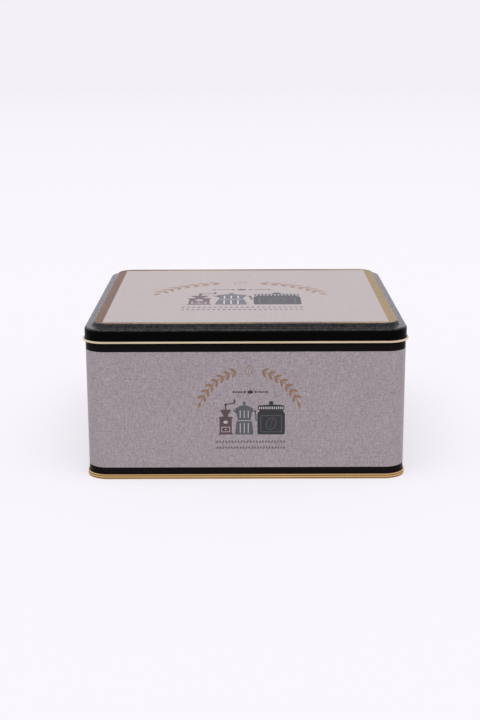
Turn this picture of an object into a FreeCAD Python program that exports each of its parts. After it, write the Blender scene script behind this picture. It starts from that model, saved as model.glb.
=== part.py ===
# A square slip-lid coffee tin of tinplate: the body with its rolled rim and side seam, the end
# that is double seamed to it, the ring of sealing compound in that seam, and the pressed lid.
# Millimetres, +Z up. The origin is on the table under the middle of the tin, and the front
# wall faces -Y. Sections are drawn across the +X wall: "across" counts outward from the outer
# face of the wall, and "up" counts from the table.
import FreeCAD, Part
import os
import Sketcher

SIZES = {
    "width": 200.0,  # outside, side wall to side wall
    "depth": 200.0,  # outside, front wall to back wall
    "corner": 13.0,  # outside radius of the upright corners
    "gauge": 0.25,  # tinplate
    "body_height": 96.0,  # table to the top of the body's rim
    "rim_size": 1.8,  # the rim's roll, across its section
    "seam_height": 3.2,  # table to the top of the double seam
    "seam_gap": 0.045,  # between neighbouring layers of the double seam
    "hook_gap": 0.6,  # from each hook's edge to the fold that it points into
    "compound_gap": 0.03,  # around the ring of compound
    "end_recess": 3.8,  # table to the underside of the end's margin
    "end_margin": 6.0,  # wall to the step in the end
    "end_step": 0.8,  # rise of that step
    "end_bend": 0.75,  # inside radius of the bends beside the margin
    "lock_width": 5.0,  # side seam, across the back wall
    "lock_layers": 4.0,  # sheets in the side seam
    "lock_end": 6.0,  # side seam's ends, below the rim and above the table
    "roll_gap": 0.3,  # from the edge of a rolled sheet to the wall that it rolls back to
    "seat_gap": 0.25,  # under the lid's ledge, over the rim
    "skirt_gap": 0.2,  # body wall to the lid's skirt
    "skirt_depth": 8.6,  # ledge to the lower edge of the lid
    "wire_size": 1.45,  # the roll at the lid's lower edge, across its section
    "shoulder": 1.5,  # outside radius between skirt and ledge
    "panel_inset": 3.5,  # body wall to the foot of the raised panel
    "panel_corner": 12.5,  # radius of the raised panel's corners at its foot
    "panel_rise": 2.6,  # ledge to the top of the raised panel
    "panel_slope": 32.0,  # lean of the raised panel's flank from upright, in degrees
    "panel_bend": 1.2,  # radius at the foot and at the edge of the raised panel
}

# A roll or fold is drawn with square corners, and this share of its width rounds each of them.
# Half would leave no straight run between two bends.
ROUND = 0.47
# The least difference in height that counts, and a fillet's radius before it is bound.
SMALL = 0.001
PROBE = 0.01

doc = FreeCAD.newDocument("CoffeeTin")
sheet = doc.addObject("Spreadsheet::Sheet", "Sizes")
for row, (name, value) in enumerate(SIZES.items(), start=1):
    sheet.set(f"A{row}", name)
    sheet.set(f"B{row}", str(value))
    sheet.setAlias(f"B{row}", name)
doc.recompute()

# Expressions that several sketches share. One pitch is a layer of the double seam and its gap.
gauge = "Sizes.gauge"
pitch = "(Sizes.gauge + Sizes.seam_gap)"
tight_bend = f"{ROUND} * (Sizes.gauge + 2 * Sizes.seam_gap)"
cover_hook_low = f"({pitch} + {gauge} + Sizes.hook_gap)"
ledge_top = "(Sizes.body_height + Sizes.seat_gap + Sizes.gauge)"
skirt_low = f"({ledge_top} - Sizes.skirt_depth)"


def new_piece(label):
    """An empty body for one sub-part."""
    body = doc.addObject("PartDesign::Body", label)
    body.Label = label
    return body


def new_sketch(body, name, plane, height="0", across="0"):
    """A sketch on one of the body's planes, raised or moved outward by an expression."""
    sketch = body.newObject("Sketcher::SketchObject", name)
    origin_plane = next(item for item in body.Origin.OriginFeatures if item.Role == plane)
    sketch.AttachmentSupport = (origin_plane, [""])
    sketch.MapMode = "FlatFace"
    sketch.setExpression("AttachmentOffset.Base.x", across)
    sketch.setExpression("AttachmentOffset.Base.z", height)
    return sketch


def draw_outline(sketch, corners):
    """A closed outline of straight runs. A corner is (first, second, radius), as expressions."""
    first = sketch.GeometryCount
    count = len(corners)
    for index in range(count):
        here = FreeCAD.Vector(index, index % 2, 0)
        there = FreeCAD.Vector(index + 1, (index + 1) % 2, 0)
        sketch.addGeometry(Part.LineSegment(here, there), False)
    for index, (across, up, _) in enumerate(corners):
        line = first + index
        before = first + (index - 1) % count
        sketch.addConstraint(Sketcher.Constraint("Coincident", before, 2, line, 1))
        for kind, expression in (("DistanceX", across), ("DistanceY", up)):
            row = sketch.addConstraint(Sketcher.Constraint(kind, -1, 1, line, 1, 1.0))
            sketch.setExpression(f"Constraints[{row}]", expression)
    doc.recompute()
    for index, (_, _, radius) in enumerate(corners):
        if radius:
            round_corner(sketch, first + (index - 1) % count, first + index, radius)
    doc.recompute()


def round_corner(sketch, before, after, radius):
    """A tangent arc of the given radius between two lines of a sketch that meet."""
    arc = sketch.GeometryCount
    corner = sketch.Geometry[after].StartPoint
    ends = (sketch.Geometry[before].StartPoint, sketch.Geometry[after].EndPoint)
    on_before, on_after = (corner + (end - corner) * PROBE for end in ends)
    sketch.fillet(before, after, on_before, on_after, PROBE, True, True)
    row = sketch.addConstraint(Sketcher.Constraint("Radius", arc, PROBE))
    sketch.setExpression(f"Constraints[{row}]", radius)
    doc.recompute()


def rectangle(outset, radius):
    """Corners of a rounded rectangle that stands outside the body walls by an expression."""
    right = f"Sizes.width / 2 + ({outset})"
    back = f"Sizes.depth / 2 + ({outset})"
    return [
        (right, f"-({back})", radius),
        (right, back, radius),
        (f"-({right})", back, radius),
        (f"-({right})", f"-({back})", radius),
    ]


def sweep_round(body, name, corners):
    """A section, drawn across the +X wall, carried once round the tin."""
    path = new_sketch(body, f"{name}Path", "XY_Plane")
    start = ("Sizes.width / 2", "0", "")
    wall = rectangle("0", "Sizes.corner")
    draw_outline(path, [start] + wall[1:] + wall[:1])
    section = new_sketch(body, f"{name}Section", "XZ_Plane", across="Sizes.width / 2")
    draw_outline(section, corners)
    pipe = body.newObject("PartDesign::AdditivePipe", name)
    pipe.Profile = section
    pipe.Spine = (path, [])
    doc.recompute()
    return pipe


def pad(body, name, outlines, bottom, length, slope="0"):
    """Rounded rectangles, the later ones cut out of the first, raised into a plate or a ring."""
    sketch = new_sketch(body, f"{name}Outline", "XY_Plane", height=bottom)
    for corners in outlines:
        draw_outline(sketch, corners)
    feature = body.newObject("PartDesign::Pad", name)
    feature.Profile = sketch
    feature.setExpression("Length", length)
    feature.setExpression("TaperAngle", slope)
    doc.recompute()
    return feature


def level_faces(shape):
    """The faces that lie flat, lowest first."""
    level = [face for face in shape.Faces if face.BoundBox.ZLength < SMALL]
    return sorted(level, key=lambda face: face.BoundBox.ZMin)


def holds(items, wanted):
    """Whether a list of edges or faces has this one in it."""
    return any(item.isSame(wanted) for item in items)


def names_of(kind, items, wanted):
    """The names, such as Edge3, of the wanted edges or faces in a shape's own list."""
    return [f"{kind}{number}" for number, item in enumerate(items, 1) if holds(wanted, item)]


def round_edges(body, name, edges, radius):
    """A fillet along some of the body's present edges."""
    base = body.Tip
    feature = body.newObject("PartDesign::Fillet", name)
    feature.Base = (base, names_of("Edge", base.Shape.Edges, edges))
    feature.setExpression("Radius", radius)
    doc.recompute()
    return feature


def roll(size, thickness):
    """Outside and inside radii of a roll of sheet, drawn as a square with rounded corners."""
    outside = f"({ROUND} * {size})"
    return outside, f"({outside} - {thickness})"


def make_body_shell():
    """The wall, rolled inward at the rim, hooked outward in the double seam, and its side seam."""
    body = new_piece("body_shell")
    top = "Sizes.body_height"
    roll_low = "(Sizes.body_height - Sizes.rim_size)"
    roll_in = "-Sizes.rim_size"
    outside, inside = roll("Sizes.rim_size", gauge)
    roll_end = f"(-{gauge} - Sizes.roll_gap)"
    fold_low = pitch
    hook_in = f"({pitch} + Sizes.seam_gap)"
    hook_out = f"({hook_in} + {gauge})"
    hook_top = f"(Sizes.seam_height - {gauge} - Sizes.hook_gap)"
    sweep_round(body, "Wall", [
        (f"-{gauge}", fold_low, f"{tight_bend} + {gauge}"),
        (hook_out, fold_low, f"{tight_bend} + {gauge}"),
        (hook_out, hook_top, ""),
        (hook_in, hook_top, ""),
        (hook_in, f"{fold_low} + {gauge}", tight_bend),
        ("0", f"{fold_low} + {gauge}", tight_bend),
        ("0", top, outside),
        (roll_in, top, outside),
        (roll_in, roll_low, outside),
        (roll_end, roll_low, ""),
        (roll_end, f"{roll_low} + {gauge}", ""),
        (f"{roll_in} + {gauge}", f"{roll_low} + {gauge}", inside),
        (f"{roll_in} + {gauge}", f"{top} - {gauge}", inside),
        (f"-{gauge}", f"{top} - {gauge}", inside),
    ])
    seam_back = f"(Sizes.depth / 2 - {gauge} / 2)"
    seam_front = f"(Sizes.depth / 2 - Sizes.lock_layers * {gauge})"
    half_lock = "Sizes.lock_width / 2"
    lock = [
        (half_lock, seam_front, ""),
        (half_lock, seam_back, ""),
        (f"-{half_lock}", seam_back, ""),
        (f"-{half_lock}", seam_front, ""),
    ]
    pad(body, "SideSeam", [lock], "Sizes.lock_end", f"{roll_low} - 2 * Sizes.lock_end")
    return body


def make_base_end():
    """The end: cover hook, seaming wall, base land, countersink wall, margin, step and panel."""
    body = new_piece("base_end")
    hook_in = "Sizes.seam_gap"
    hook_out = pitch
    wall_in = f"(2 * {pitch} + Sizes.seam_gap)"
    wall_out = f"(3 * {pitch})"
    chuck_out = f"(-{pitch})"
    chuck_in = f"(-{pitch} - {gauge})"
    fold_top = "Sizes.seam_height"
    margin_low = "Sizes.end_recess"
    margin_top = f"({margin_low} + {gauge})"
    step_out = "(-Sizes.end_margin)"
    step_in = f"({step_out} - Sizes.end_step)"
    shift = f"(sqrt(2) - 1) * {gauge}"
    panel_low = f"({margin_low} + Sizes.end_step)"
    panel_top = f"({panel_low} + {gauge})"
    panel_edge = f"({step_in} - 2 * Sizes.end_bend)"
    outer_bend = f"Sizes.end_bend + {gauge}"
    sweep_round(body, "Rim", [
        (hook_in, cover_hook_low, ""),
        (hook_out, cover_hook_low, ""),
        (hook_out, f"{fold_top} - {gauge}", tight_bend),
        (wall_in, f"{fold_top} - {gauge}", tight_bend),
        (wall_in, gauge, gauge),
        (chuck_out, gauge, gauge),
        (chuck_out, margin_top, outer_bend),
        (step_out, margin_top, "Sizes.end_bend"),
        (step_in, panel_top, outer_bend),
        (panel_edge, panel_top, ""),
        (panel_edge, panel_low, ""),
        (f"{step_in} - {shift}", panel_low, "Sizes.end_bend"),
        (f"{step_out} - {shift}", margin_low, outer_bend),
        (chuck_in, margin_low, "Sizes.end_bend"),
        (chuck_in, "0", f"2 * {gauge}"),
        (wall_out, "0", f"2 * {gauge}"),
        (wall_out, fold_top, f"{tight_bend} + {gauge}"),
        (hook_in, fold_top, f"{tight_bend} + {gauge}"),
    ])
    panel = rectangle(panel_edge, f"Sizes.corner + {panel_edge}")
    pad(body, "Panel", [panel], panel_low, gauge)
    return body


def make_seam_compound():
    """The ring of compound between the wall and its hook, under the edge of the cover hook."""
    body = new_piece("seam_compound")
    inner = "Sizes.compound_gap"
    outer = f"({pitch} + Sizes.seam_gap - Sizes.compound_gap)"
    low = f"({pitch} + {gauge} + {tight_bend})"
    high = f"({cover_hook_low} - Sizes.compound_gap)"
    sweep_round(body, "Ring", [
        (outer, low, ""),
        (outer, high, ""),
        (inner, high, ""),
        (inner, low, ""),
    ])
    return body


def make_lid():
    """The lid: skirt, ledge and raised panel of one sheet, with the roll at its lower edge."""
    body = new_piece("lid")
    skirt_in = "Sizes.skirt_gap"
    skirt_out = f"({skirt_in} + {gauge})"
    skirt_end = f"({skirt_low} + Sizes.wire_size / 2)"
    cap = rectangle(skirt_out, f"Sizes.corner + {skirt_out}")
    pad(body, "Cap", [cap], skirt_end, f"{ledge_top} - {skirt_end}")
    foot = rectangle("-Sizes.panel_inset", "Sizes.panel_corner")
    pad(body, "RaisedPanel", [foot], ledge_top, "Sizes.panel_rise", slope="-Sizes.panel_slope")
    _, ledge, panel = level_faces(body.Tip.Shape)
    foot_edges = [edge for edge in ledge.Edges if not holds(ledge.OuterWire.Edges, edge)]
    round_edges(body, "PanelBends", foot_edges + panel.Edges, "Sizes.panel_bend")
    ledge = level_faces(body.Tip.Shape)[1]
    round_edges(body, "Shoulder", ledge.OuterWire.Edges, "Sizes.shoulder")
    mouth = level_faces(body.Tip.Shape)[0]
    block = body.Tip
    shell = body.newObject("PartDesign::Thickness", "Sheet")
    shell.Base = (block, names_of("Face", block.Shape.Faces, [mouth]))
    shell.Reversed = True
    shell.setExpression("Value", gauge)
    doc.recompute()
    outside, inside = roll("Sizes.wire_size", gauge)
    roll_out = f"({skirt_in} + Sizes.wire_size)"
    roll_top = f"({skirt_low} + Sizes.wire_size)"
    roll_end = f"({skirt_out} + Sizes.roll_gap)"
    sweep_round(body, "Roll", [
        (skirt_out, skirt_end, ""),
        (skirt_in, skirt_end, ""),
        (skirt_in, skirt_low, outside),
        (roll_out, skirt_low, outside),
        (roll_out, roll_top, outside),
        (roll_end, roll_top, ""),
        (roll_end, f"{roll_top} - {gauge}", ""),
        (f"{roll_out} - {gauge}", f"{roll_top} - {gauge}", inside),
        (f"{roll_out} - {gauge}", f"{skirt_low} + {gauge}", inside),
        (skirt_out, f"{skirt_low} + {gauge}", inside),
    ])
    return body


pieces = [make_body_shell(), make_base_end(), make_seam_compound(), make_lid()]

for item in doc.Objects:
    if "Invalid" in item.State or "Error" in item.State:
        raise RuntimeError(f"{item.Label} did not build: {item.State}")
for piece in pieces:
    if piece.Shape.isNull() or not piece.Shape.isValid() or len(piece.Shape.Solids) != 1:
        raise RuntimeError(f"{piece.Label} is not one sound solid")

os.makedirs("parts", exist_ok=True)
for piece in pieces:
    piece.Shape.exportStep(f"parts/{piece.Label}.step")
    print(piece.Label, round(piece.Shape.Volume, 1), "mm3")
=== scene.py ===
import bpy
import math
from mathutils import Matrix, Vector


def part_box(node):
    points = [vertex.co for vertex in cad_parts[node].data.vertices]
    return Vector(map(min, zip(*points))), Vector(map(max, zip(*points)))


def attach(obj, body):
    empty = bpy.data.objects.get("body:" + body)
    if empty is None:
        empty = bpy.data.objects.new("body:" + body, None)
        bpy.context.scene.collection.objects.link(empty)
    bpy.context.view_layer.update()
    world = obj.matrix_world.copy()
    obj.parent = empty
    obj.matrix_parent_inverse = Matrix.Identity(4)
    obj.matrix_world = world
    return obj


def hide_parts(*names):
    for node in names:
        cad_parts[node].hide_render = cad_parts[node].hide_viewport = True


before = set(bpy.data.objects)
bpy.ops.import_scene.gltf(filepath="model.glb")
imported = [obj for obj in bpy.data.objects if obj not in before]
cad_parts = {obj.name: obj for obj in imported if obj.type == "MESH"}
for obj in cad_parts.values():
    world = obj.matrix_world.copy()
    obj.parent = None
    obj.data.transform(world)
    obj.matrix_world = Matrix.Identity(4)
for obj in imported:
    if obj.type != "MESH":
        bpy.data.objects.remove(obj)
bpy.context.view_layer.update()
mm = 0.001
print("frame loaded:", sorted(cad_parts))

# What the sheets share. Places come from the frame's own boxes.
tinplate = {
    "gauge": 0.25 * mm,
    "seamGap": 0.045 * mm,  # between the layers of the double seam
    "cornerRadius": 13.0 * mm,  # outside of the upright corners
    "cornerSteps": 28,  # faces round an upright corner
    "bendSteps": 6,  # faces round a right-angled bend of the size below, and more round larger ones
    "bendSize": 0.5 * mm,
    "bendShare": 0.47,  # of a fold's size, so that a short flat is left between its bends
    "cornerSupport": 1.2 * mm,  # narrow flat face beside each corner, which keeps the walls flat
    "bendSupport": 0.5 * mm,  # the same above and below a bend
    "filmThickness": 0.02 * mm,  # of the wall's and the lid's print
    "weld": 0.002 * mm,
    "near": 0.01 * mm,  # how far from a place a point may be and still count as there
    "squareOn": 0.999,  # how much of a face's normal points one way when the face is square to it
    "smoothAngle": 35,
}
gauge = tinplate["gauge"]
near = tinplate["near"]
pitch = gauge + tinplate["seamGap"]
tightBend = tinplate["bendShare"] * (gauge + 2 * tinplate["seamGap"])
bodyLow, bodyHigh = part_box("body_shell")
endLow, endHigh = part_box("base_end")
lidLow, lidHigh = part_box("lid")
wallHalf = endHigh.x - 3 * pitch  # from the middle of the tin to the outer face of a wall
cornerAt = wallHalf - tinplate["cornerRadius"]


def clearSelection():
    if bpy.context.object and bpy.context.object.mode == "EDIT":
        bpy.ops.object.mode_set(mode="OBJECT")
    bpy.ops.object.select_all(action="DESELECT")


def makeActive(piece):
    clearSelection()
    piece.select_set(True)
    bpy.context.view_layer.objects.active = piece


def selectFaces(piece, wanted):
    makeActive(piece)
    bpy.context.tool_settings.mesh_select_mode = (False, False, True)
    for items in (piece.data.vertices, piece.data.edges):
        items.foreach_set("select", [False] * len(items))
    for face in piece.data.polygons:
        face.select = bool(wanted(face))
    bpy.ops.object.mode_set(mode="EDIT")


def selectEdges(piece, wanted):
    makeActive(piece)
    bpy.context.tool_settings.mesh_select_mode = (False, True, False)
    for items in (piece.data.vertices, piece.data.polygons):
        items.foreach_set("select", [False] * len(items))
    points = piece.data.vertices
    for edge in piece.data.edges:
        edge.select = all(wanted(points[index].co) for index in edge.vertices)
    bpy.ops.object.mode_set(mode="EDIT")


def extrude(x=0.0, y=0.0, z=0.0):
    bpy.ops.mesh.extrude_region_move(TRANSFORM_OT_translate={"value": (x, y, z)})


def drawSection(name, start, heading, moves):
    # A pen draws the sheet's printed side across the +X wall. It starts at (out from the
    # wall, up). Heading 0 is outward and 90 is up. A move is a length, or (radius, turn left).
    clearSelection()
    x, z = wallHalf + start[0], start[1]
    bpy.ops.mesh.primitive_plane_add(size=mm, location=(x, 0, z))
    piece = bpy.context.object
    piece.name = name
    bpy.ops.object.transform_apply(location=True, rotation=True, scale=True)
    bpy.context.tool_settings.mesh_select_mode = (True, False, False)
    bpy.ops.object.mode_set(mode="EDIT")
    bpy.ops.mesh.select_all(action="SELECT")
    bpy.ops.mesh.merge(type="COLLAPSE")
    for move in moves:
        direction = math.radians(heading)
        if not isinstance(move, tuple):
            extrude(x=move * math.cos(direction), z=move * math.sin(direction))
            x += move * math.cos(direction)
            z += move * math.sin(direction)
            continue
        radius, turn = move
        side = math.copysign(radius, turn)
        centreX = x - side * math.sin(direction)
        centreZ = z + side * math.cos(direction)
        fineness = max(1.0, math.sqrt(radius / tinplate["bendSize"]))
        steps = max(2, round(tinplate["bendSteps"] * fineness * abs(turn) / 90))
        bpy.ops.mesh.spin(  # turns clockwise round its axis
            steps=steps, angle=math.radians(turn), center=(centreX, 0, centreZ), axis=(0, 1, 0)
        )
        heading += turn
        direction = math.radians(heading)
        x = centreX + side * math.sin(direction)
        z = centreZ - side * math.cos(direction)
    print(f"  {name}: section ends {1000 * (x - wallHalf):.3f} mm out, {1000 * z:.3f} mm up")
    return piece


def wrapRound(piece, centre):
    # The section goes once round the tin, by straight runs and quarter turns.
    support = tinplate["cornerSupport"]
    half = centre - support
    bpy.ops.mesh.select_all(action="SELECT")
    extrude(y=half)
    for quarter in range(4):
        angle = math.radians(90 * quarter)
        out = Vector((math.cos(angle), math.sin(angle), 0))
        along = Vector((-math.sin(angle), math.cos(angle), 0))
        extrude(*(along * support))
        bpy.ops.mesh.spin(
            steps=tinplate["cornerSteps"],
            angle=math.radians(90),
            center=(along + out) * centre,
            axis=(0, 0, -1),
        )
        extrude(*(-out * support))
        extrude(*(-out * (half if quarter == 3 else 2 * half)))
    bpy.ops.mesh.select_all(action="SELECT")
    bpy.ops.mesh.remove_doubles(threshold=tinplate["weld"])
    bpy.ops.object.mode_set(mode="OBJECT")


def capSection(piece, height, reach):
    # Closes the last ring of a section with one flat face.
    selectEdges(piece, lambda at: abs(at.z - height) < near and max(abs(at.x), abs(at.y)) < reach + near)
    bpy.ops.mesh.edge_face_add()
    bpy.ops.object.mode_set(mode="OBJECT")


def turnOutward(piece, isProbe, outward):
    # Recalculates the normals, and flips them all if the probe face looks the wrong way.
    makeActive(piece)
    bpy.ops.object.mode_set(mode="EDIT")
    bpy.ops.mesh.select_all(action="SELECT")
    bpy.ops.mesh.normals_make_consistent(inside=False)
    bpy.ops.object.mode_set(mode="OBJECT")
    probe = next(face for face in piece.data.polygons if isProbe(face))
    if probe.normal.dot(outward) < 0:
        bpy.ops.object.mode_set(mode="EDIT")
        bpy.ops.mesh.select_all(action="SELECT")
        bpy.ops.mesh.flip_normals()
        bpy.ops.object.mode_set(mode="OBJECT")


def smooth(piece):
    makeActive(piece)
    bpy.ops.object.shade_smooth_by_angle(angle=math.radians(tinplate["smoothAngle"]))


def giveThickness(piece, thickness, offset, backMaterial=0):
    makeActive(piece)
    sheet = piece.modifiers.new("sheet", "SOLIDIFY")
    sheet.thickness = thickness
    sheet.offset = offset
    sheet.use_even_offset = True
    sheet.material_offset = backMaterial
    sheet.material_offset_rim = backMaterial
    bpy.ops.object.modifier_apply(modifier=sheet.name)
    smooth(piece)


def liftFilm(name, sheet, wanted, material):
    # A film of print is a copy of part of the sheet's printed side, with a thickness of its own.
    selectFaces(sheet, wanted)
    bpy.ops.mesh.duplicate()
    bpy.ops.mesh.separate(type="SELECTED")
    bpy.ops.object.mode_set(mode="OBJECT")
    film = next(item for item in bpy.context.selected_objects if item != sheet)
    film.name = name
    film.data.materials.clear()
    film.data.materials.append(material)
    giveThickness(film, tinplate["filmThickness"], 1)
    return film


class Signal:
    # One output of a node, with arithmetic.
    def __init__(self, finish, socket):
        self.finish = finish
        self.socket = socket

    def __add__(self, other):
        return self.finish.maths("ADD", self, other)

    __radd__ = __add__

    def __mul__(self, other):
        return self.finish.maths("MULTIPLY", self, other)

    __rmul__ = __mul__

    def __sub__(self, other):
        return self.finish.maths("SUBTRACT", self, other)

    def __rsub__(self, other):
        return self.finish.maths("SUBTRACT", other, self)

    def clamped(self):
        return self.finish.maths("ADD", self, 0.0, clamp=True)


class Finish:
    # A material and its node tree.
    def __init__(self, name):
        self.material = bpy.data.materials.new(name)
        self.material.use_nodes = True
        self.tree = self.material.node_tree
        self.tree.nodes.clear()

    def node(self, kind, settings=None, inputs=None, output=0):
        made = self.tree.nodes.new("ShaderNode" + kind)
        for key, value in (settings or {}).items():
            setattr(made, key, value)
        for key, value in (inputs or {}).items():
            if isinstance(value, Signal):
                self.tree.links.new(value.socket, made.inputs[key])
            else:
                made.inputs[key].default_value = value
        return Signal(self, made.outputs[output]) if made.outputs else None

    def maths(self, operation, *values, clamp=False):
        settings = {"operation": operation, "use_clamp": clamp}
        return self.node("Math", settings, dict(enumerate(values)))

    def mix(self, amount, first, second):
        return self.node("Mix", {"data_type": "RGBA"}, {0: amount, 6: first, 7: second}, output=2)

    def place(self, scale=(1, 1, 1), source="Object"):
        coordinates = self.node("TexCoord", output=source)
        return self.node("Mapping", None, {"Vector": coordinates, "Scale": scale})

    def noise(self, vector, scale, detail=2.0, roughness=0.5):
        inputs = {"Vector": vector, "Scale": scale, "Detail": detail, "Roughness": roughness}
        return self.node("TexNoise", None, inputs)

    def bump(self, height, strength, distance):
        return self.node("Bump", None, {"Height": height, "Strength": strength, "Distance": distance})

    def shade(self, **inputs):
        named = {key.replace("_", " "): value for key, value in inputs.items()}
        shader = self.node("BsdfPrincipled", None, named)
        self.node("OutputMaterial", None, {"Surface": shader})
        return self.material


def srgb(red, green, blue):
    levels = []
    for level in (red, green, blue):
        level /= 255
        levels.append(level / 12.92 if level <= 0.04045 else ((level + 0.055) / 1.055) ** 2.4)
    return (*levels, 1.0)


def makeEnamel(name, colour):
    # Dull on the upright walls and glossy, in fine specks, on what looks up.
    enamel = {
        "smooth": 0.2,
        "rough": 0.34,
        "gloss": 0.02,
        "coat": 0.86,  # what a level face gets, before the loss
        "coatLoss": 0.1,  # keeps the coat off what stands upright
        "specks": 3.0,  # how strongly the coat breaks up
        "specksLoss": 0.6,
        "peelDepth": 0.03 * mm,
    }
    finish = Finish(name)
    peel = finish.noise(finish.place(), scale=600.0, roughness=0.7)
    smudge = finish.noise(finish.place(), scale=35.0, detail=4.0, roughness=0.6)
    facing = finish.node("TexCoord", output="Normal")
    upward = finish.node("SeparateXYZ", None, {"Vector": facing}, output="Z")
    level = (upward * enamel["coat"] - enamel["coatLoss"]).clamped()
    return finish.shade(
        Base_Color=colour,
        Roughness=enamel["smooth"] + smudge * (enamel["rough"] - enamel["smooth"]),
        Specular_IOR_Level=enamel["gloss"],
        Coat_Weight=(level * (peel * enamel["specks"] - enamel["specksLoss"])).clamped(),
        Coat_Roughness=0.22,
        Coat_IOR=1.85,
        Normal=finish.bump(peel, strength=0.5, distance=enamel["peelDepth"]),
    )


def makeLacquer(name, light, deep, reflectionBands=0.0):
    # Light and dark bands by height round the base's seam are painted reflection, standing in for its
    # curves catching light and shade; the last argument sets how strong they are.
    lacquer = {
        "smooth": 0.3,
        "rough": 0.45,
        "flow": 1.2,  # how far the colour drifts where there are no painted reflection bands
        "bandPitch": 1.47 * mm,
        "bandTop": 3.0 * mm,  # height of the topmost painted highlight line
        "grainDepth": 0.01 * mm,
    }
    finish = Finish(name)
    flow = finish.noise(finish.place(), scale=30.0, detail=3.0)
    grain = finish.noise(finish.place((1, 1, 0.1)), scale=700.0)
    depth = (flow - 0.5) * (lacquer["flow"] - reflectionBands) + 0.5
    if reflectionBands:
        height = finish.node("SeparateXYZ", None, {"Vector": finish.place()}, output="Z")
        perMetre = 2 * math.pi / lacquer["bandPitch"]
        # a cosine by height paints the bands of reflection into the colour
        paintedBands = finish.maths("COSINE", (height - lacquer["bandTop"]) * perMetre)
        depth = depth - paintedBands * (0.5 * reflectionBands)
    return finish.shade(
        Base_Color=finish.mix(depth.clamped(), light, deep),
        Metallic=1.0,
        Roughness=lacquer["smooth"] + grain * (lacquer["rough"] - lacquer["smooth"]),
        Normal=finish.bump(grain, strength=0.05, distance=lacquer["grainDepth"]),
    )


def makeLinenPrint(name, light, dark, contrast):
    # Printed threads: long across one way and short the other, with a finer weave between.
    linen = {
        "warp": (900, 190, 1.0),  # how often it changes across and up in a metre, and its weight
        "weft": (220, 940, 0.9),
        "fineWarp": (1700, 620, 1.4),
        "fineWeft": (620, 1700, 1.3),
        "cloud": (45, 45, 0.3),
    }
    finish = Finish(name)
    depth = 0.5
    for layer, (across, up, weight) in linen.items():
        grade = {"detail": 3.0} if layer == "cloud" else {"roughness": 0.6}
        pattern = finish.noise(finish.place((across, up, 1), "UV"), scale=1.0, **grade)
        depth = depth + (pattern - 0.5) * (weight * contrast)
    return finish.shade(
        Base_Color=finish.mix(depth.clamped(), dark, light),
        Roughness=0.4,
    )


def makeGoldBand():
    # The gold ink turns from rose to yellow and back across the lid.
    band = {
        "rose": srgb(130, 111, 102),
        "yellow": srgb(188, 175, 132),
        "edge": srgb(229, 214, 206),
        "roseAt": -92 * mm,
        "every": 122 * mm,
        "speckle": 3.2,
        "smooth": 0.3,
        "rough": 0.4,
        "gritDepth": 0.02 * mm,
    }
    finish = Finish("goldBand")
    grit = finish.noise(finish.place(), scale=420.0, detail=3.0, roughness=0.8)
    across = finish.node("SeparateXYZ", None, {"Vector": finish.place()}, output="X")
    wave = finish.maths("COSINE", (across - band["roseAt"]) * (2 * math.pi / band["every"]))
    drift = (0.5 - wave * 0.5 + (grit - 0.5) * band["speckle"]).clamped()
    return finish.shade(
        Base_Color=finish.mix(drift, band["rose"], band["yellow"]),
        Metallic=1.0,
        Specular_Tint=band["edge"],
        Roughness=band["smooth"] + grit * (band["rough"] - band["smooth"]),
        Normal=finish.bump(grit, strength=0.5, distance=band["gritDepth"]),
    )


def makeInk(name, light, dark, metallic=0.0):
    finish = Finish(name)
    grit = finish.noise(finish.place(), scale=1400.0, detail=3.0, roughness=0.7)
    mottle = ((grit - 0.5) * 2.0 + 0.5).clamped()
    return finish.shade(
        Base_Color=finish.mix(mottle, dark, light),
        Metallic=metallic,
        Roughness=0.4,
    )


def makeCompound():
    compound = {"dark": srgb(60, 58, 56), "light": srgb(92, 88, 84), "skinDepth": 0.05 * mm}
    finish = Finish("sealingCompound")
    skin = finish.noise(finish.place(), scale=900.0, detail=3.0)
    return finish.shade(
        Base_Color=finish.mix(skin, compound["dark"], compound["light"]),
        Roughness=0.75,
        Normal=finish.bump(skin, strength=0.4, distance=compound["skinDepth"]),
    )


bodyEnamel = makeEnamel("bodyEnamel", srgb(15, 12, 13))
lidEnamel = makeEnamel("lidEnamel", srgb(3, 3, 3))
paleLacquer = makeLacquer("paleLacquer", srgb(228, 211, 180), srgb(212, 193, 158))
# the base's lacquer carries painted reflection bands round its seam
deepLacquer = makeLacquer("deepLacquer", srgb(226, 190, 132), srgb(104, 72, 28), 0.95)
wallLinen = makeLinenPrint("wallLinen", srgb(146, 136, 139), srgb(98, 91, 94), 0.8)
labelLinen = makeLinenPrint("labelLinen", srgb(146, 137, 135), srgb(102, 95, 93), 0.4)
print("finishes mixed")

# The body's wall, with its rolled rim and its hook in the double seam.
wall = {
    "printLow": 7.6 * mm,  # black ends and linen begins
    "printHigh": 82.4 * mm,  # linen ends and black begins
    "rimSize": 1.8 * mm,
    "rollGap": 0.3 * mm,  # between the roll's free edge and the wall
    "hookGap": 0.6 * mm,  # between the hook's free edge and the base's sheet over it
    "seamHeight": 3.2 * mm,
    "foldAt": 2.3 * mm,  # the side seam's outer fold, from the middle of the back
    "foldWidth": 0.9 * mm,
    "foldDepth": 0.12 * mm,
}
rimBend = tinplate["bendShare"] * wall["rimSize"]


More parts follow.
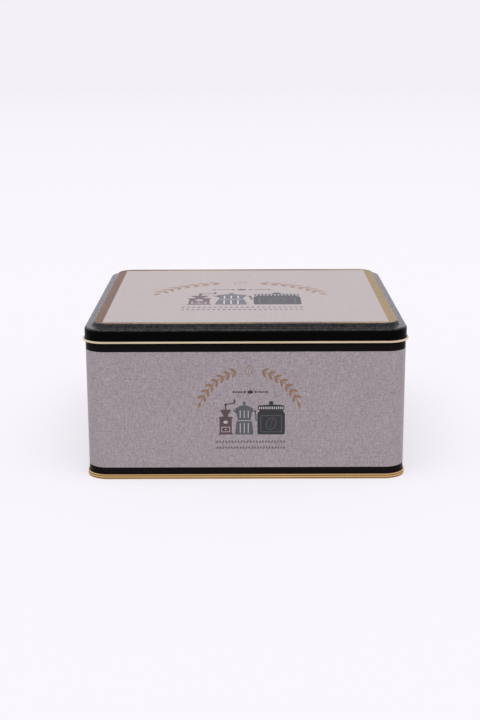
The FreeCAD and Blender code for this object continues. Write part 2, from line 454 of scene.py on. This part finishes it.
def pressGroove(piece):
    # The fold of the side seam shows outside as one upright groove down the back.
    low = bodyLow.z + gauge + tightBend + tinplate["bendSupport"]
    high = bodyHigh.z - rimBend - tinplate["bendSupport"]
    for step in (-0.5, 0, 0.5):
        selectFaces(piece, lambda face: face.normal.y > tinplate["squareOn"]
                    and face.center.y > wallHalf - near and low < face.center.z < high)
        at = wall["foldAt"] + step * wall["foldWidth"]
        bpy.ops.mesh.bisect(plane_co=(at, 0, 0), plane_no=(1, 0, 0))
        bpy.ops.object.mode_set(mode="OBJECT")
    selectEdges(piece, lambda at: abs(at.x - wall["foldAt"]) < near and at.y > wallHalf - near
                and low + near < at.z < high - near)
    bpy.ops.transform.translate(value=(0, -wall["foldDepth"], 0))
    bpy.ops.object.mode_set(mode="OBJECT")


def makeWall():
    rimFlat = wall["rimSize"] - 2 * rimBend
    foldLow = bodyLow.z + gauge
    hookOut = gauge + 2 * tinplate["seamGap"]
    hookTop = wall["seamHeight"] - gauge - wall["hookGap"]
    support = tinplate["bendSupport"]
    piece = drawSection("wallSheet", (hookOut, hookTop), -90, [
        hookTop - foldLow - tightBend,
        (tightBend, -90),
        hookOut - 2 * tightBend,
        (tightBend, -90),
        support,
        wall["printLow"] - foldLow - tightBend - support,
        wall["printHigh"] - wall["printLow"],
        bodyHigh.z - rimBend - wall["printHigh"] - support,
        support,
        (rimBend, 90),
        rimFlat,
        (rimBend, 90),
        rimFlat,
        (rimBend, 90),
        wall["rimSize"] - rimBend - gauge - wall["rollGap"],
    ])
    wrapRound(piece, cornerAt)
    middle = 0.5 * (wall["printLow"] + wall["printHigh"])
    turnOutward(piece, lambda face: abs(face.center.z - middle) < mm and face.center.x > cornerAt,
                Vector((1, 0, 0)))
    piece.data.materials.append(bodyEnamel)
    piece.data.materials.append(paleLacquer)
    pressGroove(piece)
    return piece


def layWeave(piece, run):
    # The weave follows the surface: run tells where a point lies on the flat print.
    for layer in list(piece.data.uv_layers):
        piece.data.uv_layers.remove(layer)
    weave = piece.data.uv_layers.new(name="weave")
    for face in piece.data.polygons:
        for loop in face.loop_indices:
            weave.data[loop].uv = run(piece.data.vertices[piece.data.loops[loop].vertex_index].co, face)


def roundTheWall(at, face):
    # Distance round the wall, anticlockwise from above and from the middle of the +X side.
    arc = 0.5 * math.pi * tinplate["cornerRadius"]
    side = 2 * cornerAt + arc
    turn = math.atan2(face.center.y, face.center.x) % (2 * math.pi)
    quarter = int((turn + math.pi / 4) // (math.pi / 2))
    angle = 0.5 * math.pi * (quarter % 4)
    along = -at.x * math.sin(angle) + at.y * math.cos(angle)
    out = at.x * math.cos(angle) + at.y * math.sin(angle)
    if abs(along) > cornerAt:
        beyond = math.atan2(abs(along) - cornerAt, out - cornerAt)
        along = math.copysign(cornerAt + beyond * tinplate["cornerRadius"], along)
    return (quarter * side + along, at.z)


def isLinen(face):
    return wall["printLow"] < face.center.z < wall["printHigh"]


wallSheet = makeWall()
wallPrint = liftFilm("wallPrint", wallSheet, isLinen, wallLinen)
layWeave(wallPrint, roundTheWall)
giveThickness(wallSheet, gauge, -1, 1)
print("wall made:", len(wallSheet.data.polygons), "faces")

# The folded side seam stands inside the middle of the back wall.
sideSeam = {
    "width": 5.0 * mm,
    "layers": 3,  # that stand inside the wall's own sheet
    "endGap": 6.0 * mm,  # from the standing edge, and from the rim's roll
    "round": 0.3 * mm,
    "roundSteps": 4,
    "foldDepth": 0.18 * mm,
    "foldFrom": 0.9 * mm,  # the free fold slopes down from here
    "foldTo": 1.6 * mm,
}


def makeSideSeam():
    low = endLow.z + sideSeam["endGap"]
    high = bodyHigh.z - wall["rimSize"] - sideSeam["endGap"]
    thick = sideSeam["layers"] * gauge
    inner = wallHalf - gauge
    clearSelection()
    bpy.ops.mesh.primitive_cube_add(size=1, location=(0, inner - thick / 2, (low + high) / 2))
    seam = bpy.context.object
    seam.name = "sideSeam"
    seam.scale = (sideSeam["width"], thick, high - low)
    bpy.ops.object.transform_apply(location=True, rotation=True, scale=True)
    # The free fold lies a little lower than the rest of the strip.
    bpy.ops.object.mode_set(mode="EDIT")
    for at in (sideSeam["foldTo"], sideSeam["foldFrom"]):
        bpy.ops.mesh.select_all(action="SELECT")
        bpy.ops.mesh.bisect(plane_co=(at, 0, 0), plane_no=(1, 0, 0))
    selectFaces(seam, lambda face: face.normal.y < -tinplate["squareOn"]
                and face.center.x > sideSeam["foldTo"])
    bpy.ops.transform.translate(value=(0, sideSeam["foldDepth"], 0))
    bpy.ops.object.mode_set(mode="OBJECT")
    soften = seam.modifiers.new("round", "BEVEL")
    soften.width = sideSeam["round"]
    soften.segments = sideSeam["roundSteps"]
    soften.limit_method = "ANGLE"
    makeActive(seam)
    bpy.ops.object.modifier_apply(modifier=soften.name)
    seam.data.materials.append(paleLacquer)
    smooth(seam)
    return seam


seamStrip = makeSideSeam()
print("side seam folded")

# The base, seamed to the wall.
baseEnd = {
    "seamHeight": 3.2 * mm,
    "recess": 3.8 * mm,  # from the standing edge up to the flat ring
    "marginOut": 6.0 * mm,  # from the wall in to the step
    "step": 0.8 * mm,
    "stepSlope": 45,
    "stepBend": 0.75 * mm,
    "chuckBend": 0.5 * mm,
    "seamBend": 0.41 * mm,
    "hookEnd": 1.145 * mm,  # height of the hook's free edge
    "grooveUp": 1.85 * mm,  # the seaming roll leaves a shallow line round the seam
    "grooveBend": 0.35 * mm,
    "grooveTurn": 20,
    "panelOverlap": 1.5 * mm,  # flat ring between the step and the panel's one flat face
}


def makeBaseEnd():
    seamBend = baseEnd["seamBend"]
    chuckIn = pitch + gauge
    outer = 3 * pitch
    bend, chuck = baseEnd["stepBend"], baseEnd["chuckBend"]
    slope = baseEnd["stepSlope"]
    tangent = math.tan(math.radians(slope) / 2)
    groove, turn = baseEnd["grooveBend"], baseEnd["grooveTurn"]
    grooveHalf = 2 * groove * math.sin(math.radians(turn))
    stepOut = baseEnd["marginOut"] + gauge * tangent
    stepIn = stepOut + baseEnd["step"] / math.tan(math.radians(slope))
    start = stepIn + baseEnd["panelOverlap"]
    piece = drawSection("baseEnd", (-start, baseEnd["recess"] + baseEnd["step"]), 0, [
        start - stepIn - bend * tangent,
        (bend, -slope),
        baseEnd["step"] / math.sin(math.radians(slope)) - (2 * bend + gauge) * tangent,
        (bend + gauge, slope),
        stepOut - (bend + gauge) * tangent - chuckIn - bend,
        (bend, -90),
        baseEnd["recess"] - bend - chuck,
        (chuck, 90),
        chuckIn + outer - 2 * chuck,
        (chuck, 90),
        baseEnd["grooveUp"] - chuck - grooveHalf,
        (groove, turn),
        (groove, -2 * turn),
        (groove, turn),
        baseEnd["seamHeight"] - baseEnd["grooveUp"] - seamBend - grooveHalf,
        (seamBend, 90),
        outer - tinplate["seamGap"] - 2 * seamBend,
        (seamBend, 90),
        baseEnd["seamHeight"] - seamBend - baseEnd["hookEnd"],
    ])
    wrapRound(piece, cornerAt)
    capSection(piece, baseEnd["recess"] + baseEnd["step"], wallHalf - start)
    turnOutward(piece, lambda face: len(face.vertices) > 4, Vector((0, 0, -1)))
    piece.data.materials.append(deepLacquer)
    giveThickness(piece, gauge, -1)
    return piece


baseSheet = makeBaseEnd()
print("base made:", len(baseSheet.data.polygons), "faces")

# The lid: a skirt with an outward roll, a ledge, and a raised panel with its own corners.
lid = {
    "skirtGap": 0.2 * mm,  # between the wall and the skirt
    "rollSize": 1.45 * mm,
    "rollStart": 0.75 * mm,  # from the wall out to the roll's free edge
    "shoulder": 1.5 * mm,
    "ledgeTop": 96.5 * mm,
    "panelInset": 3.5 * mm,
    "panelCorner": 12.5 * mm,
    "panelSlope": 32,  # degrees from upright
    "panelBend": 1.2 * mm,
    "panelRing": 0.6 * mm,  # flat ring between the bend and the panel's one flat face
    "labelHalf": 88.9 * mm,
    "labelFront": 90.5 * mm,  # the label lies a little towards the front
}


def isTop(face):
    return face.center.z > lidHigh.z - near


def isLabel(face):
    inside = abs(face.center.x) < lid["labelHalf"] and -lid["labelFront"] < face.center.y < lid["labelHalf"]
    return inside and isTop(face)


def isBand(face):
    return isTop(face) and not isLabel(face)


def makeLid():
    rollBend = tinplate["bendShare"] * lid["rollSize"] - gauge
    rollOut = lid["skirtGap"] + lid["rollSize"] - gauge
    rollInner = lid["rollSize"] - 2 * gauge
    shoulder = lid["shoulder"]
    support = tinplate["bendSupport"]
    piece = drawSection("lidSheet", (lid["rollStart"], lidLow.z + gauge + rollInner), 0, [
        rollOut - lid["rollStart"] - rollBend,
        (rollBend, -90),
        rollInner - 2 * rollBend,
        (rollBend, -90),
        rollInner - 2 * rollBend,
        (rollBend, -90),
        support,
        lid["ledgeTop"] - shoulder - lidLow.z - gauge - rollBend - 2 * support,
        support,
        (shoulder, 90),
    ])
    wrapRound(piece, cornerAt)
    slope = lid["panelSlope"]
    bend = lid["panelBend"]
    tangent = bend * math.tan(math.radians(90 - slope) / 2)
    rise = lidHigh.z - lid["ledgeTop"]
    flank = rise / math.cos(math.radians(slope))
    panel = drawSection("lidPanel", (tangent - lid["panelInset"], lid["ledgeTop"]), 180, [
        (bend, slope - 90),
        flank - 2 * tangent,
        (bend, 90 - slope),
        lid["panelRing"],
    ])
    wrapRound(panel, wallHalf - lid["panelInset"] - lid["panelCorner"])
    flatHalf = wallHalf - lid["panelInset"] - rise * math.tan(math.radians(slope)) - tangent
    capSection(panel, lidHigh.z, flatHalf - lid["panelRing"])
    makeActive(piece)
    panel.select_set(True)
    bpy.ops.object.join()
    selectEdges(piece, lambda at: abs(at.z - lid["ledgeTop"]) < near)
    bpy.ops.mesh.bridge_edge_loops()
    bpy.ops.object.mode_set(mode="OBJECT")
    for axis in (Vector((1, 0, 0)), Vector((0, 1, 0))):
        for side in (-1, 1):
            selectFaces(piece, lambda face: isTop(face) and abs(face.normal.z) > tinplate["squareOn"])
            reach = lid["labelFront"] if axis.y and side < 0 else lid["labelHalf"]
            bpy.ops.mesh.bisect(plane_co=axis * side * reach, plane_no=axis)
            bpy.ops.object.mode_set(mode="OBJECT")
    turnOutward(piece, lambda face: face.center.xy.length < mm, Vector((0, 0, 1)))
    piece.data.materials.append(lidEnamel)
    piece.data.materials.append(paleLacquer)
    return piece


lidSheet = makeLid()
lidPrint = liftFilm("lidPrint", lidSheet, isLabel, labelLinen)
layWeave(lidPrint, lambda at, face: (at.x, at.y))
lidBand = liftFilm("lidBand", lidSheet, isBand, makeGoldBand())
giveThickness(lidSheet, gauge, -1, 1)
print("lid made:", len(lidSheet.data.polygons), "faces")

# The printed picture: an arch of leafy sprigs over a hand mill, a stove-top pot and a canister.
# Its sizes are those on the front wall, from the middle of its foot. The lid's copy is larger.
picture = {
    "frontAt": (3.95 * mm, 29.1 * mm),
    "lidAt": (-0.35 * mm, -37.2 * mm),
    "lidScale": 1.84,
    "inkThickness": 0.03 * mm,
    "layerStep": 0.01 * mm,  # how much higher the second layer of ink lies
}


def disc(x, y, width, height, sides=20, turn=0.0):
    clearSelection()
    bpy.ops.mesh.primitive_circle_add(vertices=sides, radius=0.5, fill_type="NGON", location=(x, y, 0))
    shape = bpy.context.object
    shape.scale = (width, height, 1)
    shape.rotation_euler.z = math.radians(turn)
    return shape


def bar(x, y, width, height, turn=0.0):
    clearSelection()
    bpy.ops.mesh.primitive_plane_add(size=1, location=(x, y, 0))
    shape = bpy.context.object
    shape.scale = (width, height, 1)
    shape.rotation_euler.z = math.radians(turn)
    return shape


def openUp(shape, stroke):
    # Leaves only an outline of a flat shape.
    makeActive(shape)
    bpy.ops.object.transform_apply(location=False, rotation=False, scale=True)
    bpy.context.tool_settings.mesh_select_mode = (False, False, True)
    bpy.ops.object.mode_set(mode="EDIT")
    bpy.ops.mesh.select_all(action="SELECT")
    bpy.ops.mesh.inset(thickness=stroke)
    bpy.ops.mesh.delete(type="FACE")
    bpy.ops.object.mode_set(mode="OBJECT")
    return shape


def drawProfile(x, profile):
    # A shape that is the same left and right, drawn from its foot up: (half width, height) in mm.
    (footHalf, low), (half, high) = profile[:2]
    shape = bar(x, 0.5 * (low + high) * mm, 2 * footHalf * mm, (high - low) * mm)
    bpy.ops.object.transform_apply(location=True, rotation=True, scale=True)
    selectEdges(shape, lambda at: at.y > high * mm - near)
    bpy.ops.transform.resize(value=(half / footHalf, 1, 1), center_override=(x, high * mm, 0))
    for nextHalf, nextHigh in profile[2:]:
        extrude(y=(nextHigh - high) * mm)
        bpy.ops.transform.resize(value=(nextHalf / half, 1, 1), center_override=(x, nextHigh * mm, 0))
        half, high = nextHalf, nextHigh
    bpy.ops.object.mode_set(mode="OBJECT")
    return shape


def joinShapes(shapes):
    clearSelection()
    for shape in shapes:
        shape.select_set(True)
    bpy.context.view_layer.objects.active = shapes[0]
    bpy.ops.object.transform_apply(location=True, rotation=True, scale=True)
    bpy.ops.object.join()
    return bpy.context.object


def copyTo(master, x, y, turn=0.0):
    shape = master.copy()
    shape.data = master.data.copy()
    bpy.context.scene.collection.objects.link(shape)
    shape.location = (x, y, 0)
    shape.rotation_euler.z = math.radians(turn)
    return shape


coffeeBean = {
    "creaseStroke": 0.7,  # share of the outline's
    "creaseLength": 0.72,  # share of the bean's
    "creaseTurn": 9,
    "turn": -24,
}


def makeBean(x, y, width, height, stroke):
    outline = openUp(disc(0, 0, width, height, sides=24), stroke)
    creaseSize = (coffeeBean["creaseStroke"] * stroke, coffeeBean["creaseLength"] * height)
    crease = bar(0, 0, *creaseSize, coffeeBean["creaseTurn"])
    bean = joinShapes([outline, crease])
    bean.location = (x, y, 0)
    bean.rotation_euler.z = math.radians(coffeeBean["turn"])
    return bean


arch = {
    "centre": (-1.85 * mm, 9.0 * mm),
    "radius": 32.6 * mm,
    "leaf": (4.6 * mm, 1.7 * mm),
    "leafSteps": 9,
    "pairs": 7,  # of leaves on each sprig, which ends in one more leaf
    "firstAt": 14,  # degrees from the top
    "spacing": 7.6,
    "tilt": 40,  # of a leaf from the stalk
    "leafGap": 0.15 * mm,  # from the middle of the stalk to a leaf
    "stalk": 0.45 * mm,
    "bean": (4.8 * mm, 6.8 * mm),
    "beanStroke": 0.42 * mm,
}


def makeLeaf():
    # Two arcs closed into a pointed leaf from the origin along +X.
    length, width = arch["leaf"]
    rise = 0.5 * width
    radius = (0.25 * length ** 2 + rise ** 2) / (2 * rise)
    sweep = 2 * math.asin(0.5 * length / radius)
    leaf = bar(0, 0, mm, mm)
    bpy.ops.object.transform_apply(location=True, rotation=True, scale=True)
    bpy.context.tool_settings.mesh_select_mode = (True, False, False)
    bpy.ops.object.mode_set(mode="EDIT")
    bpy.ops.mesh.select_all(action="SELECT")
    bpy.ops.mesh.merge(type="COLLAPSE")
    middle = (0.5 * length, rise - radius, 0)
    bpy.ops.mesh.spin(steps=arch["leafSteps"], angle=sweep, center=middle, axis=(0, 0, 1))
    bpy.ops.mesh.select_all(action="SELECT")
    bpy.ops.mesh.duplicate()
    bpy.ops.transform.resize(value=(1, -1, 1), center_override=(0, 0, 0))
    bpy.ops.mesh.select_all(action="SELECT")
    bpy.ops.mesh.remove_doubles(threshold=tinplate["weld"])
    bpy.ops.mesh.edge_face_add()
    bpy.ops.object.mode_set(mode="OBJECT")
    return leaf


def onArch(degrees):
    x, y = arch["centre"]
    angle = math.radians(degrees)
    return x + arch["radius"] * math.sin(angle), y + arch["radius"] * math.cos(angle)


def drawArch():
    # Two leafy sprigs grow outward and down from one bean at the top.
    leaf = makeLeaf()
    run = math.radians(arch["spacing"]) * arch["radius"]
    shapes = [makeBean(*onArch(0), *arch["bean"], arch["beanStroke"])]
    for side in (-1, 1):
        for pair in range(arch["pairs"] + 1):
            degrees = side * (arch["firstAt"] + pair * arch["spacing"])
            x, y = onArch(degrees)
            isTip = pair == arch["pairs"]
            if not isTip:
                middle = degrees + 0.5 * side * arch["spacing"]
                shapes.append(bar(*onArch(middle), run, arch["stalk"], -middle))
            for tilt in [0] if isTip else (-arch["tilt"], arch["tilt"]):
                away = (0 if side > 0 else 180) - degrees + tilt
                outX = arch["leafGap"] * math.cos(math.radians(away))
                outY = arch["leafGap"] * math.sin(math.radians(away))
                shapes.append(copyTo(leaf, x + outX, y + outY, away))
    bpy.data.objects.remove(leaf)
    return joinShapes(shapes)


def spread(first, last, count):
    return [first + (last - first) * step / (count - 1) for step in range(count)]


mill = {
    "at": -16.6 * mm,
    "profile": [(4.4, 0), (4.4, 1.0), (3.8, 1.1), (3.8, 10.6), (4.3, 10.7), (4.3, 11.5), (1.3, 11.8),
                (1.6, 12.8), (3.2, 15.4), (3.3, 16.1), (0.45, 16.4), (0.45, 19.4)],
    "drawer": (5.4 * mm, 3.4 * mm),
    "drawerLine": 0.35 * mm,
    "drawerUp": 3.3 * mm,
    "knob": 1.0 * mm,
    "plate": (2.9 * mm, 2.0 * mm),
    "plateUp": 8.1 * mm,
    "crank": (5.6 * mm, 0.75 * mm),
    "crankTilt": 8,
    "crankUp": 19.6 * mm,
    "hub": 1.5 * mm,
    "grip": (1.2 * mm, 3.0 * mm),
    "gripUp": 1.2 * mm,  # from the crank's end to the grip's middle
}


def drawMill():
    at, up = mill["at"], mill["crankUp"]
    reach = mill["crank"][0]
    tilt = math.radians(mill["crankTilt"])
    across, rise = reach * math.cos(tilt), reach * math.sin(tilt)
    solid = [
        drawProfile(at, mill["profile"]),
        bar(at + 0.5 * across, up + 0.5 * rise, *mill["crank"], mill["crankTilt"]),
        disc(at + across, up + rise + mill["gripUp"], *mill["grip"], sides=16),
        disc(at, up, mill["hub"], mill["hub"], sides=12),
    ]
    light = [
        openUp(bar(at, mill["drawerUp"], *mill["drawer"]), mill["drawerLine"]),
        disc(at, mill["drawerUp"], mill["knob"], mill["knob"], sides=12),
        disc(at, mill["plateUp"], *mill["plate"]),
    ]
    return solid, light


pot = {
    "at": -5.0 * mm,
    "profile": [(5.4, 0), (5.8, 0.5), (4.9, 8.2), (4.5, 8.6), (4.5, 9.5), (4.1, 9.9), (5.3, 16.2),
                (5.6, 16.4), (5.6, 17.0), (2.2, 18.8), (0.5, 19.0), (0.5, 19.5), (1.0, 20.0),
                (1.0, 20.8), (0.5, 21.2)],
    "spout": (-5.7, 15.2, 2.6, 1.1, -40),  # a bar: across, up, length and thickness in mm, and turn
    "handle": [(6.2, 15.4, 2.2, 0.9, 0), (7.2, 12.2, 0.95, 6.8, 6)],
    "facetsAt": [-2.5, 0.0, 2.5],
    "facetRows": [(4.3, 6.4), (13.3, 4.8)],  # height of the middle, and length
    "facetWidth": 0.55 * mm,
    "collar": (8.2 * mm, 0.4 * mm),
    "collarUp": 9.05 * mm,
}


def drawPot():
    at = pot["at"]
    solid = [drawProfile(at, pot["profile"])]
    for across, up, length, thickness, turn in [pot["spout"], *pot["handle"]]:
        solid.append(bar(at + across * mm, up * mm, length * mm, thickness * mm, turn))
    light = [bar(at, pot["collarUp"], *pot["collar"])]
    for up, length in pot["facetRows"]:
        light += [bar(at + x * mm, up * mm, pot["facetWidth"], length * mm) for x in pot["facetsAt"]]
    return solid, light


canister = {
    "at": 11.8 * mm,
    "profile": [(7.8, 0), (8.6, 0.8), (8.6, 13.2), (8.1, 14.5), (7.3, 15.2), (7.3, 15.9), (8.3, 16.0),
                (8.3, 18.6), (7.7, 19.0), (1.4, 19.5), (1.0, 19.9), (1.5, 20.7), (1.0, 21.6)],
    "ticks": 12,
    "tick": (0.7 * mm, 1.6 * mm),
    "tickUp": 17.3 * mm,
    "tickReach": 7.3 * mm,
    "frame": (13.4 * mm, 11.0 * mm),
    "bean": (6.2 * mm, 8.6 * mm),
    "beanUp": 7.0 * mm,
    "line": 0.45 * mm,
}


def drawCanister():
    at, reach, line = canister["at"], canister["tickReach"], canister["line"]
    ticks = []
    for across in spread(-reach, reach, canister["ticks"]):
        ticks.append(bar(at + across, canister["tickUp"], *canister["tick"]))
    border = openUp(bar(at, canister["beanUp"], *canister["frame"]), line)
    bean = makeBean(at, canister["beanUp"], *canister["bean"], line)
    return [drawProfile(at, canister["profile"])], ticks, [border, bean]


ornament = {
    "at": (-1.2 * mm, 27.6 * mm),
    "bean": (3.6 * mm, 2.3 * mm),
    "diamond": 1.7 * mm,
    "diamondOut": 3.4 * mm,
    "bar": (4.8 * mm, 0.7 * mm),
    "barOut": 7.0 * mm,
    "bead": 1.36 * mm,
    "beadOut": 10.4 * mm,
}


def drawOrnament():
    x, y = ornament["at"]
    diamond, bead = ornament["diamond"], ornament["bead"]
    marks = [disc(x, y, *ornament["bean"], sides=24)]
    for side in (-1, 1):
        marks.append(disc(x + side * ornament["diamondOut"], y, diamond, diamond, sides=4))
        marks.append(bar(x + side * ornament["barOut"], y, *ornament["bar"]))
        marks.append(disc(x + side * ornament["beadOut"], y, bead, bead, sides=12))
    return marks


beadRows = {
    "rows": [(-4.7 * mm, 23), (-8.6 * mm, 24)],  # height, and how many beads
    "from": -22.0 * mm,
    "to": 20.0 * mm,
    "bead": (1.05 * mm, 1.9 * mm),
    "turn": 24,  # one bead leans one way and the next the other
}


def drawBeadRows():
    beads = []
    for up, count in beadRows["rows"]:
        for step, across in enumerate(spread(beadRows["from"], beadRows["to"], count)):
            turn = beadRows["turn"] if step % 2 else -beadRows["turn"]
            beads.append(disc(across, up, *beadRows["bead"], sides=10, turn=turn))
    return beads


def drawPicture():
    # Each ink's flat shapes, with the layer in which it lies: 1 is printed over 0.
    millSolid, millLight = drawMill()
    potSolid, potLight = drawPot()
    canisterSolid, ticks, canisterLines = drawCanister()
    return {
        "Brown": (joinShapes(millSolid), 0),
        "Slate": (joinShapes(potSolid), 0),
        "Black": (joinShapes(canisterSolid + drawOrnament()), 0),
        "Cream": (joinShapes(millLight + potLight + ticks), 1),
        "Line": (joinShapes(canisterLines), 1),
        "Grey": (joinShapes(drawBeadRows()), 0),
        "Gold": (drawArch(), 0),
    }


def pressPicture():
    inks = {
        "Brown": makeInk("brownInk", srgb(74, 56, 58), srgb(44, 33, 35)),
        "Slate": makeInk("slateInk", srgb(72, 74, 79), srgb(50, 52, 56)),
        "Black": makeInk("blackInk", srgb(25, 27, 31), srgb(13, 14, 17)),
        "Cream": makeInk("creamInk", srgb(160, 153, 154), srgb(132, 126, 128)),
        "Line": makeInk("lineInk", srgb(66, 69, 74), srgb(46, 48, 52)),
        "Grey": makeInk("greyInk", srgb(84, 77, 81), srgb(62, 56, 60)),
        "Gold": makeInk("goldInk", srgb(132, 104, 78), srgb(94, 72, 54), 0.2),
    }
    copies = {"tin_body": [], "lid_body": []}
    for ink, (flat, layer) in drawPicture().items():
        lift = tinplate["filmThickness"] + layer * picture["layerStep"]
        for place, body in (("wall", "tin_body"), ("lid", "lid_body")):
            piece = copyTo(flat, 0, 0)
            piece.name = place + ink
            if place == "wall":
                piece.location = (picture["frontAt"][0], -wallHalf - lift, picture["frontAt"][1])
                piece.rotation_euler.x = math.radians(90)
            else:
                piece.location = (*picture["lidAt"], lidHigh.z + lift)
                piece.scale = (picture["lidScale"], picture["lidScale"], 1)
            makeActive(piece)
            bpy.ops.object.transform_apply(location=True, rotation=True, scale=True)
            piece.data.materials.append(inks[ink])
            giveThickness(piece, picture["inkThickness"], 0)
            copies[body].append(piece)
        bpy.data.objects.remove(flat)
    return copies


printed = pressPicture()
print("picture printed:", sum(len(group) for group in printed.values()), "inks")

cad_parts["seam_compound"].material_slots[0].material = makeCompound()

bodyPieces = [wallSheet, wallPrint, seamStrip, baseSheet] + printed["tin_body"]
lidPieces = [lidSheet, lidPrint, lidBand] + printed["lid_body"]
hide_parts("body_shell")
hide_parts("base_end")
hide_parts("lid")
for piece in bodyPieces:
    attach(piece, "tin_body")
    "lacquered_tinplate" if piece == baseSheet else "printed_tinplate"
for piece in lidPieces:
    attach(piece, "lid_body")

# A plain pale floor under an even white sky, with one wide soft light from above and in front.
studio = {
    "sky": (0.90, 0.868, 0.94, 1.0),
    "floor": (0.965, 0.93, 0.995, 1.0),
    "lightPower": 4.7,
    "lightSpread": 70,
    "lightTilt": 22,
    "lightAt": (0, -0.5, 1.5),
    "floorHalf": 40.0,
    "glow": 0.58,  # how much of the floor's light is a painted glow of its own, as on a lit table; it thins the shadows round the tin
    "nearEdge": 0.6,  # the floor darkens a little from this far out to the far edge
    "farEdge": 6.0,
    "farLevel": 0.932,
}


def dimmed(colour, level):
    return (*[level * part for part in colour[:3]], 1.0)


def makeStage():
    clearSelection()
    bpy.ops.mesh.primitive_plane_add(size=2 * studio["floorHalf"], location=(0, 0, 0))
    floor = bpy.context.object
    floor.name = "floor"
    above = studio["lightPower"] * math.cos(math.radians(studio["lightTilt"])) / math.pi
    finish = Finish("palePaper")
    glow, far = studio["floor"], studio["farLevel"]
    share = 1 - studio["glow"]
    paint = [share * level / (sky + above) for level, sky in zip(glow, studio["sky"])]
    away = finish.node("VectorMath", {"operation": "LENGTH"}, {0: finish.place()}, output="Value")
    reach = studio["farEdge"] - studio["nearEdge"]
    distance = ((away - studio["nearEdge"]) * (1 / reach)).clamped()
    floor.data.materials.append(finish.shade(
        Base_Color=finish.mix(distance, dimmed(paint, 1), dimmed(paint, far)),
        Roughness=1.0,
        Specular_IOR_Level=0.0,
        Emission_Color=finish.mix(distance, glow, dimmed(glow, far)),
        Emission_Strength=studio["glow"],
    ))
    world = bpy.data.worlds.new("whiteSky")
    world.use_nodes = True
    world.node_tree.nodes["Background"].inputs["Color"].default_value = studio["sky"]
    bpy.context.scene.world = world
    clearSelection()
    tilt = math.radians(studio["lightTilt"])
    bpy.ops.object.light_add(type="SUN", location=studio["lightAt"], rotation=(tilt, 0, 0))
    lamp = bpy.context.object
    lamp.data.energy = studio["lightPower"]
    lamp.data.angle = math.radians(studio["lightSpread"])
    lamp.visible_glossy = False


camera = {
    "lens": 64.32,
    "sensor": 36.0,
    "sees": (0.05, 200.0),  # nearest and farthest distance
    "place": (-0.58 * mm, -869.4 * mm, 271.8 * mm),
    "down": 14.192,  # degrees below level
    "turn": 0.219,
    "roll": -0.255,
}


def makeCamera():
    clearSelection()
    bpy.ops.object.camera_add()
    eye = bpy.context.object
    eye.data.lens = camera["lens"]
    eye.data.sensor_width = camera["sensor"]
    eye.data.clip_start, eye.data.clip_end = camera["sees"]
    eye.matrix_world = (
        Matrix.Translation(camera["place"])
        @ Matrix.Rotation(math.radians(camera["turn"]), 4, "Z")
        @ Matrix.Rotation(math.radians(90 - camera["down"]), 4, "X")
        @ Matrix.Rotation(math.radians(camera["roll"]), 4, "Z")
    )
    bpy.context.scene.camera = eye


makeStage()
makeCamera()
bpy.context.scene.view_settings.view_transform = "Standard"

print("scene ready")
